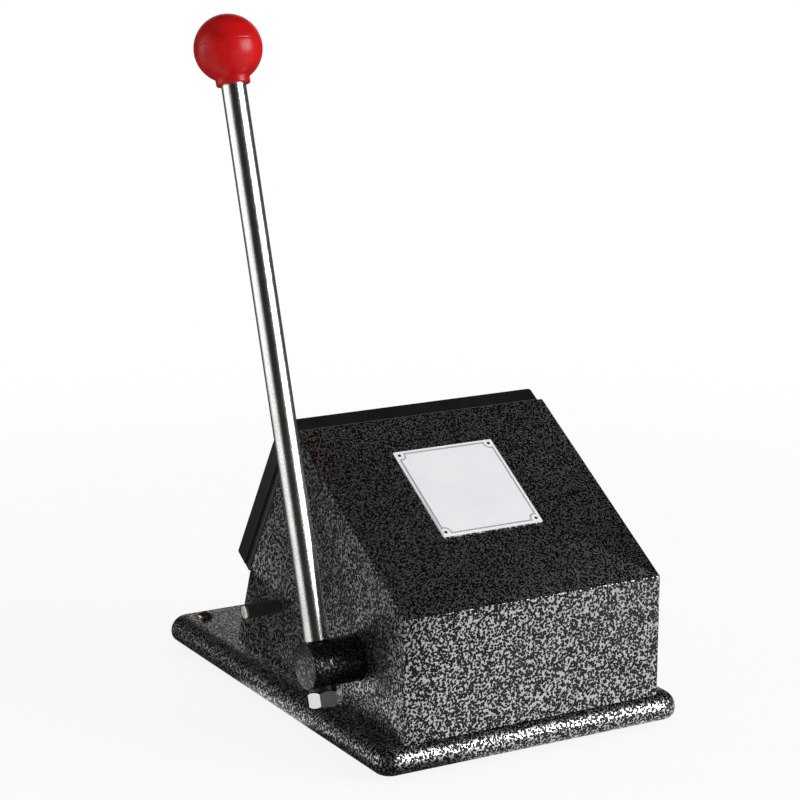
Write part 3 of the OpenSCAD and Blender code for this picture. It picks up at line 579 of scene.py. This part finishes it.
def makeHousing():
    half, wall = body["width"] / 2, house["wall"]
    bm = prism(body["outline"], -half, half)
    bm.edges.ensure_lookup_table()
    beveled(bm, [e for e in bm.edges if any(v.co.z > 1e-5 for v in e.verts)],
            house["edge"], house["edgeSteps"])
    piece = finished(bm, "housingShell", onHousing)
    inner = insetOutline(body["outline"], [wall, wall, wall, wall, -1])
    rearLug = inner[4][0] - house["lug"] - wall
    hollow = finished(prism(inner, wall - half, half - wall), "hollow", onHousing)
    for sx in (-1, 1):
        for y0, y1 in ((-1, wall + house["lug"]), (rearLug, house["pastRear"])):
            spot = onHousing @ moved(sx * (half - wall - house["lug"] / 2 + 1), (y0 + y1) / 2, 0)
            carved(hollow, [(block(house["lug"] + 2, y1 - y0, -5, house["lugH"]), spot)])
    cutWith(piece, hollow)
    # each cutter reaches a little past the wall that it cuts
    leftWall = onHousing @ moved(-half - 1, 0, 0)
    holes = [
        (rod(house["hubHole"], 0, wall + 2, segments=64),
         leftWall @ moved(0, body["shaftY"], body["shaftH"]) @ alongX),
        (rod(house["stopHole"], 0, wall + 2), leftWall @ moved(0, body["stopY"], body["stopH"]) @ alongX),
        (block(house["windowW"], house["windowL"], -wall - 1, 1, house["windowR"]), onSlope)]
    for sx in (-1, 1):
        holes.append((rod(body["dowelR"], -wall - 1, 1), onSlope @ moved(sx * body["dowelX"], 0, 0)))
        for sy in (-1, 1):
            holes.append((rod(body["screwHole"], -wall - 1, 1),
                          onSlope @ moved(sx * body["dieScrewX"], sy * body["dieScrewY"], 0)))
            holes.append((rod(house["rivetHole"], -wall - 1, 1, segments=24),
                          onLabel @ moved(sx * house["rivetX"], sy * house["rivetY"], 0)))
        for y in (wall + house["lug"] / 2, rearLug + house["lug"] / 2):
            holes.append((rod(house["lugHoleR"], -1, house["lugHoleTop"]),
                          onHousing @ moved(sx * (half - wall - house["lug"] / 2), y, 0)))
    carved(piece, holes)
    evened(piece)
    keep(piece, "frame", "hammertone", paint, "housing")


makeHousing()
print("housing made")


# label and its rivets
label = {"width": 75, "length": 77, "thick": 0.8, "cornerR": 0.8, "edge": 0.15, "inset": 3.5,
         "rivetR": 1.1, "shankR": 0.66, "shankLow": -5, "holeGap": 0.02, "headRim": 0.1, "headH": 0.55,
         "border": {"offset": 2.4, "notch": 3.9, "apart": 0.6, "line": 0.2}}


def makeLabel():
    width, length, t = label["width"], label["length"], label["thick"]
    rivetX, rivetY = width / 2 - label["inset"], length / 2 - label["inset"]
    piece = finished(block(width, length, 0, t, label["cornerR"]), "labelPlate")
    carved(piece, [(rod(label["shankR"] + label["holeGap"], -1, 3, segments=24),
                    moved(sx * rivetX, sy * rivetY, 0)) for sx in (-1, 1) for sy in (-1, 1)])
    eased(piece, label["edge"], 2)
    mesh = piece.data
    uv = mesh.uv_layers.new(name="plate")
    for loop in mesh.loops:
        spot = mesh.vertices[loop.vertex_index].co
        uv.data[loop.index].uv = (spot.x / (width * mm) + 0.5, spot.y / (length * mm) + 0.5)
    mesh.transform(onLabel)
    finish = printedLabel(width, length, label["inset"], label["border"])
    keep(piece, "frame", "label_white", finish, "label_plate")
    r, shankR, seat = label["rivetR"], label["shankR"], t + label["headRim"]
    rise = label["headH"] - label["headRim"]
    dome = [(r * cos(radians(a)), seat + rise * sin(radians(a))) for a in range(0, 90, 15)]
    for side, sx in (("left", -1), ("right", 1)):
        for end, sy in (("top", 1), ("low", -1)):
            rivet = lathe([(0, label["shankLow"]), (shankR, label["shankLow"]), (shankR, t), (r, t)]
                          + dome + [(0, seat + rise)], 32)
            keep(finished(rivet, f"labelRivet.{end}.{side}", onLabel @ moved(sx * rivetX, sy * rivetY, 0)),
                 "frame", "rivet_dark", rivetDark, f"label_rivet_{end}_{side}")


makeLabel()
print("label made")


# plates on the rear slope
plates = {"dieW": 196, "length": 127, "dieR": 5, "strip": 3, "slot": 2, "die": 11, "stripW": 192,
          "stripR": 1.0, "slotW": 124, "spacerR": 0.8, "cardW": 85.6, "cardL": 53.98, "cardR": 3.18,
          "gap": 0.05, "sink": 6.3, "screwR": 3, "screwL": 34, "headR": 4.95, "headGap": 0.4,
          "headH": 6, "headLow": 0.3, "headTop": 0.6, "socketR": 2.85, "socketLow": 3,
          "dieEdge": 0.35, "stripEdge": 0.2, "spacerEdge": 0.15, "dowelEdge": 0.4, "past": 3}


def cardCutter(gap, z0, z1):
    return block(plates["cardW"] + 2 * gap, plates["cardL"] + 2 * gap, z0, z1, plates["cardR"] + gap)


def makePlates():
    p = plates
    slotTop = p["strip"] + p["slot"]
    dieTop = slotTop + p["die"]
    low, high = -p["past"], dieTop + p["past"]
    seat = dieTop - p["sink"]
    hole, headHole = body["screwHole"], p["headR"] + p["headGap"]
    screwSpots = [onSlope @ moved(sx * body["dieScrewX"], sy * body["dieScrewY"], 0)
                  for sx in (-1, 1) for sy in (-1, 1)]

    def dowelHoles():
        return [(rod(body["dowelR"], low, high), onSlope @ moved(sx * body["dowelX"], 0, 0))
                for sx in (-1, 1)]

    def drills():
        return [(rod(hole, low, high), spot) for spot in screwSpots] + dowelHoles()

    die = finished(block(p["dieW"], p["length"], slotTop, dieTop, p["dieR"]), "diePlate", onSlope)
    carved(die, [(cardCutter(p["gap"], 0, high), onSlope)] + dowelHoles() + [
        (lathe([(0, 0), (hole, 0), (hole, seat), (headHole, seat), (headHole, high), (0, high)], 48),
         spot) for spot in screwSpots])
    eased(die, p["dieEdge"], 3)
    keep(die, "frame", "black_plate", blackPlate, "die_plate")
    strip = finished(block(p["stripW"], p["length"], 0, p["strip"], p["stripR"]), "stripperPlate",
                     onSlope)
    carved(strip, [(cardCutter(2 * p["gap"], low, p["strip"] + p["past"]), onSlope)] + drills())
    eased(strip, p["stripEdge"], 2)
    # the stripper's lighter finish is a painted highlight along its edge
    keep(strip, "frame", "black_plate", stripPaintedSheen, "stripper_plate")
    wide = (p["stripW"] - p["slotW"]) / 2
    for side, sx in (("left", -1), ("right", 1)):
        spacer = finished(block(wide, p["length"], p["strip"], slotTop, p["spacerR"],
                                sx * (p["slotW"] + wide) / 2), f"spacer.{side}", onSlope)
        carved(spacer, drills())
        eased(spacer, p["spacerEdge"], 2)
        keep(spacer, "frame", "black_plate", blackPlate, f"spacer_{side}")
        pin = rod(body["dowelR"], -house["wall"], dieTop, p["dowelEdge"])
        keep(finished(pin, f"dowel.{side}", onSlope @ moved(sx * body["dowelX"], 0, 0)),
             "frame", "ground_steel", groundSteel, f"dowel_{side}")
        for end, sy in (("top", -1), ("low", 1)):
            head = lathe([(0, seat - p["screwL"]), (p["screwR"], seat - p["screwL"]),
                          (p["screwR"], seat), (p["headR"] - p["headLow"], seat),
                          (p["headR"], seat + p["headLow"])]
                         + arc(p["headR"] - p["headTop"], seat + p["headH"] - p["headTop"],
                               p["headTop"], 0, 90, 4)
                         + [(0, seat + p["headH"])], 48)
            spot = onSlope @ moved(sx * body["dieScrewX"], sy * body["dieScrewY"], 0)
            screw = finished(head, f"dieScrew.{end}.{side}", spot)
            socket = rod(p["socketR"], seat + p["socketLow"], seat + p["headH"] + p["past"], segments=6)
            carved(screw, [(socket, spot)])
            keep(screw, "frame", "black_screw", blackScrewAndShade, f"die_screw_{end}_{side}")


makePlates()
print("plates made")


# stop
stop = {"pinR": 4.5, "sleeveR": 5, "sleeveEdge": 0.2, "out": 26, "bare": 1.6, "chamfer": 1.2,
        "inside": 9}


def makeStop():
    s = stop
    pin = lathe([(0, -s["inside"]), (s["pinR"], -s["inside"]), (s["pinR"], s["out"] - s["chamfer"])]
                + arc(s["pinR"] - s["chamfer"], s["out"] - s["chamfer"], s["chamfer"], 0, 90, 5)[1:]
                + [(0, s["out"])], 48)
    keep(finished(pin, "stopPin", onStop), "frame", "plated_steel", platedPin, "stop_pin")
    sleeve = tube(s["pinR"], s["sleeveR"], 0, s["out"] - s["bare"], s["sleeveEdge"])
    keep(finished(sleeve, "stopSleeve", onStop), "frame", "sleeve_rubber", sleeveRubber, "stop_sleeve")


makeStop()
print("stop made")


# shaft with its hub
hub = {"radius": 15, "shaftR": 12.5, "outer": -131.5, "step": -81.3, "end": 81, "edge": 0.8,
       "shoulder": 13.4, "thread": 6, "rodHole": 8.3, "boreReach": 30, "seatReach": 40,
       "camW": 18, "key": 6}


def makeShaft():
    h = hub
    edge = h["edge"]
    profile = [(0, h["outer"])] + arc(h["radius"] - edge, h["outer"] + edge, edge, -90, 0, 4) + [
        (h["radius"], h["step"]), (h["shaftR"], h["step"]), (h["shaftR"], h["end"] - edge),
        (h["shaftR"] - edge, h["end"]), (0, h["end"])]
    piece = finished(lathe(profile, 72), "shaftWithHub", onShaft @ alongX)
    holes = [(rod(h["thread"], -h["boreReach"], h["boreReach"]), onLever),
             (rod(h["rodHole"], h["shoulder"], h["seatReach"]), onLever),
             (rod(h["rodHole"], -h["seatReach"], -h["shoulder"]), onLever)]
    for hole in holes:
        carved(piece, [hole])
    low = -h["shaftR"] - h["key"] / 2
    carved(piece, [(block(h["camW"], h["key"], low, low + h["key"]), onShaft)])
    keep(piece, "lever", "hammertone", hubPaint, "cam_shaft")
    piece.data.materials.append(turnedSteel)
    for face in piece.data.polygons:
        if face.center.x > (h["step"] - 0.05) * mm:
            face.material_index = 1


makeShaft()


# lever
lever = {"rodR": 8, "threadR": 6, "threadEdge": 0.7, "chamfer": 1.5, "length": 394,
         "ballR": 22, "waistR": 12.3, "collarR": 11, "collarEdge": 0.8, "collarH": 2.9, "neck": 1.5,
         "bite": 26, "seamAt": 2.3, "seamDeep": 0.12, "seamWide": 0.26,
         "nutAF": 19, "nutH": 10, "nutTurn": -14.4, "nutLand": 0.2, "nutDrop": 1.35, "nutEdge": 0.18,
         "neckH": 3.6, "neckSink": 0.05, "neckEdge": 0.3}


def degreesAt(across, radius):
    # degrees round from a ball's widest ring to where it is only as wide as this radius
    return acos(across / radius) * 180 / pi


def makeLever():
    v = lever
    collarLow = v["length"] - v["ballR"] - v["neck"]
    shoulder, chamfer = hub["shoulder"], v["chamfer"]
    low = -shoulder - v["neckH"] - v["nutH"]
    steps = 40
    shank = [(v["rodR"], shoulder + chamfer + (collarLow - shoulder - chamfer) * i / steps)
             for i in range(steps + 1)]
    bar = lathe([(0, low), (v["threadR"] - v["threadEdge"], low), (v["threadR"], low + v["threadEdge"]),
                 (v["threadR"], shoulder), (v["rodR"] - chamfer, shoulder)] + shank + [
                (v["threadR"], collarLow), (v["threadR"], collarLow + v["bite"]),
                (0, collarLow + v["bite"])], 72)
    keep(finished(bar, "leverRod", onLever), "lever", "plated_steel", platedRod, "lever_rod")

    # the ball: a bore, the moulded collar with its fillet, then the sphere with a fine seam
    centre, r, c = v["length"], v["ballR"], v["collarR"]
    start = -degreesAt(v["waistR"], r)
    seam = asin(v["seamAt"] / r) * 180 / pi
    half = v["seamWide"] / r * 180 / pi / 2
    leave = (r * cos(radians(start)), centre + r * sin(radians(start)))
    bend = (c, collarLow + v["collarH"])
    pull = (c - 0.1, leave[1] - 0.6)
    ball = [(0, collarLow + v["bite"]), (v["threadR"], collarLow + v["bite"]), (v["threadR"], collarLow)]
    edge = v["collarEdge"]
    ball += arc(c - edge, collarLow + edge, edge, -90, 0, 5)
    for i in range(9):
        t = i / 8
        ball.append(tuple((1 - t) ** 2 * p + 2 * t * (1 - t) * q + t * t * w
                          for p, q, w in zip(bend, pull, leave)))
    ball += arc(0, centre, r, start + 2.5, seam - half, 40)
    ball += [((r - v["seamDeep"]) * cos(radians(seam)), centre + (r - v["seamDeep"]) * sin(radians(seam)))]
    ball += arc(0, centre, r, seam + half, 88.5, 34) + [(0, centre + r)]
    knob = finished(lathe(ball, 112), "ballKnob", onLever, smoothAngle=60)
    keep(knob, "lever", "ball_red", redKnob, "ball_knob")

    # the nut: a hexagon eased by a turned double cone, over a round neck
    top = -shoulder - v["neckH"]
    hexR = v["nutAF"] / sqrt(3)
    turned = onLever @ Matrix.Rotation(radians(v["nutTurn"]), 4, "Z")
    nut = finished(rod(hexR, low, top, segments=6), "leverNut", turned)
    land, drop, wide = v["nutAF"] / 2 - v["nutLand"], v["nutDrop"], hexR + 0.3
    carved(nut, [(lathe([(0, low), (land, low), (wide, low + drop), (wide, top - drop),
                         (land, top), (0, top)], 72), onLever)], "INTERSECT")
    carved(nut, [(rod(v["threadR"], low - 2, top + 2), onLever)])
    eased(nut, v["nutEdge"], 2, 25)
    neck = finished(tube(v["threadR"], v["rodR"], top - v["neckSink"], -shoulder, v["neckEdge"]),
                    "nutNeck", onLever)
    hexFaces = len(nut.data.polygons)
    joined(nut, neck)
    keep(nut, "lever", "zinc_nut", zincNut, "lever_nut")
    nut.data.materials.append(blackScrewAndShade)  # the neck takes the dark screw finish as painted shade in the gap under the hub, and keep() leaves one finish
    for face in nut.data.polygons[hexFaces:]:
        face.material_index = 1


makeLever()
print("lever made")


# pieces of the model that stay, with better finishes
kept = {
    blackScrewAndShade: ["housing_screw_front_left", "housing_screw_front_right", "housing_screw_rear_left",
                 "housing_screw_rear_right", "cheek_screw_front_left", "cheek_screw_front_right",
                 "cheek_screw_rear_left", "cheek_screw_rear_right", "punch_screw_left",
                 "punch_screw_right"],
    groundSteel: ["guide_plate", "punch", "cam_roller", "guide_post_left", "guide_post_right"],
    turnedSteel: ["roller_pin", "shaft_collar", "cam_key"],
    machinedSteel: ["cheek_left", "cheek_right", "ram", "press_cam"],
    bearingBronze: ["shaft_bush_left", "shaft_bush_right", "ram_bush_left", "ram_bush_right"],
    zincNut: ["stop_nut"],
    springWire: ["return_spring_left", "return_spring_right"],
}
for finish, names in kept.items():
    for name in names:
        node = nodes[name]
        node.data.materials.clear()
        node.data.materials.append(finish)
print("kept nodes finished")


# studio: floor, world, lamps and camera
studio = {"floorSize": 60.0, "floorTone": (0.86, 0.86, 0.86), "clearFrom": 0.45, "clearTo": 1.1,
          "paleNear": 0.88, "shineNear": 0.05, "shineFar": 0.95, "worldLight": 0.55, "room": 0.055,
          "ceiling": 0.10, "wallTop": 0.30, "ceilingFrom": 0.62}

# parts of the room that polished metal shows: where each lies, in degrees round from the
# front and up from level, how wide it is, and how bright
panels = {
    "leftWall": {"around": -108, "up": 0, "wide": 16, "soft": 26, "glow": 1.35},
    "backdrop": {"around": 150, "up": 0, "wide": 20, "soft": 10, "glow": 0.5},
    "leftFloor": {"around": -92, "up": 0, "wide": 14, "soft": 14, "glow": 0.85},
    "frontFloor": {"around": 28, "up": 0, "wide": 36, "soft": 14, "glow": 0.82},
    "rightWall": {"around": 36, "up": 10, "wide": 23, "soft": 4, "glow": 1.0},
}
behindCamera = {"around": -35, "up": 10, "wide": 22, "soft": 9, "left": 0.3}


def towards(around, up):
    a, e = radians(around), radians(up)
    return Vector((sin(a) * cos(e), -cos(a) * cos(e), sin(e)))


def inPanel(f, direction, panel):
    facing = f.node("ShaderNodeVectorMath", {"operation": "DOT_PRODUCT"}, {
        0: direction, 1: towards(panel["around"], panel["up"])}, output="Value")
    return f.between(facing, cos(radians(panel["wide"] + panel["soft"])), cos(radians(panel["wide"])))


def makeFloor():
    bm = bmesh.new()
    bmesh.ops.create_circle(bm, cap_ends=True, segments=64, radius=studio["floorSize"] / 2)
    floor = finished(bm, "studioFloor", Matrix.Translation((0, 0, -0.0002)))
    material, f = newFinish("studioFloor")
    place = f.node("ShaderNodeTexCoord", output="Object")
    away = f.node("ShaderNodeVectorMath", {"operation": "LENGTH"}, {0: place}, output="Value")
    far = f.between(away, studio["clearFrom"], studio["clearTo"])
    camera = f.node("ShaderNodeLightPath", output="Is Camera Ray")
    glossy = f.node("ShaderNodeLightPath", output="Is Glossy Ray")
    through = f.node("ShaderNodeLightPath", output="Is Transmission Ray")
    plain = camera.atLeast(through)
    pale = plain * (studio["paleNear"] + (1 - studio["paleNear"]) * far)
    level = f.node("ShaderNodeVectorMath", {"operation": "NORMALIZE"}, {0: place}, output="Vector")
    shine = studio["shineFar"] * far * inPanel(f, level, panels["leftWall"])
    for name in ("leftFloor", "frontFloor"):
        shine = shine.atLeast(panels[name]["glow"] * inPanel(f, level, panels[name]))
    shine = shine.atLeast(studio["shineNear"])
    matt = f.node("ShaderNodeBsdfDiffuse", {}, {"Color": studio["floorTone"]})
    glow = f.node("ShaderNodeEmission", {}, {"Color": (1, 1, 1), "Strength": plain + glossy * shine})
    both = f.node("ShaderNodeMixShader", {}, {0: pale.atLeast(glossy), 1: matt, 2: glow})
    f.node("ShaderNodeOutputMaterial", {}, {"Surface": both})
    floor.data.materials.append(material)


def makeWorld():
    world = bpy.data.worlds.new("studio")
    world.use_nodes = True
    scene.world = world
    f = Finish(world.node_tree)
    direction = f.node("ShaderNodeTexCoord", output="Generated")
    rise = f.node("ShaderNodeSeparateXYZ", {}, {0: direction}, output="Z")
    camera = f.node("ShaderNodeLightPath", output="Is Camera Ray")
    glossy = f.node("ShaderNodeLightPath", output="Is Glossy Ray")
    through = f.node("ShaderNodeLightPath", output="Is Transmission Ray")
    room = f.between(rise, studio["wallTop"], studio["ceilingFrom"], 1.0, studio["ceiling"])
    shine = studio["room"] * room
    for name in ("leftWall", "backdrop", "rightWall"):
        panel = panels[name]
        shine = shine.atLeast(panel["glow"] * inPanel(f, direction, panel))
    shine = shine * (1 - (1 - behindCamera["left"]) * inPanel(f, direction, behindCamera))
    plain = camera.atLeast(through)
    soft = (1 - plain) * (1 - glossy)
    strength = plain + glossy * shine + soft * studio["worldLight"]
    glow = f.node("ShaderNodeBackground", {}, {"Color": (1, 1, 1), "Strength": strength})
    f.node("ShaderNodeOutputWorld", {}, {"Surface": glow})


lamps = {
    "keyFront": {"around": 39, "up": 17, "away": 4.0, "size": (2.4, 1.9), "power": 135.0,
                 "tone": (1.0, 0.995, 0.985)},
    "leftSide": {"around": -121, "up": 11, "away": 1.6, "size": (0.5, 0.7), "power": 1.4,
                 "tone": (1.0, 0.97, 0.92)},
}
lampAim = Vector((-0.03, -0.02, 0.14))


def makeLamps():
    for name, lamp in lamps.items():
        light = bpy.data.lights.new(name, "AREA")
        light.shape, (light.size, light.size_y) = "RECTANGLE", lamp["size"]
        light.energy, light.color = lamp["power"], lamp["tone"]
        holder = bpy.data.objects.new(name, light)
        away = towards(lamp["around"], lamp["up"])
        holder.location = lampAim + away * lamp["away"]
        holder.rotation_euler = (-away).to_track_quat("-Z", "Y").to_euler()
        scene.collection.objects.link(holder)


lens = {"from": (-0.85146, -1.46460, 0.60785), "yaw": 0.521, "pitch": 0.236, "roll": 0.004,
        "focalPixels": 2604.6, "imageWidth": 800, "sensor": 36.0}


def makeCamera():
    yaw, pitch, roll = lens["yaw"], lens["pitch"], lens["roll"]
    ahead = Vector((sin(yaw) * cos(pitch), cos(yaw) * cos(pitch), -sin(pitch)))
    level = Vector((cos(yaw), -sin(yaw), 0))
    up = level.cross(ahead)
    right, up = cos(roll) * level + sin(roll) * up, -sin(roll) * level + cos(roll) * up
    data = bpy.data.cameras.new("camera")
    data.sensor_width = lens["sensor"]
    data.lens = lens["focalPixels"] * data.sensor_width / lens["imageWidth"]
    data.clip_start, data.clip_end = 0.05, 100.0
    camera = bpy.data.objects.new("camera", data)
    turn = Matrix((right, up, -ahead)).transposed().to_4x4()
    camera.matrix_world = Matrix.Translation(lens["from"]) @ turn
    scene.collection.objects.link(camera)
    scene.camera = camera


makeFloor()
makeWorld()
makeLamps()
makeCamera()
scene.view_settings.view_transform = "Standard"
print("studio made")

bpy.context.view_layer.update()
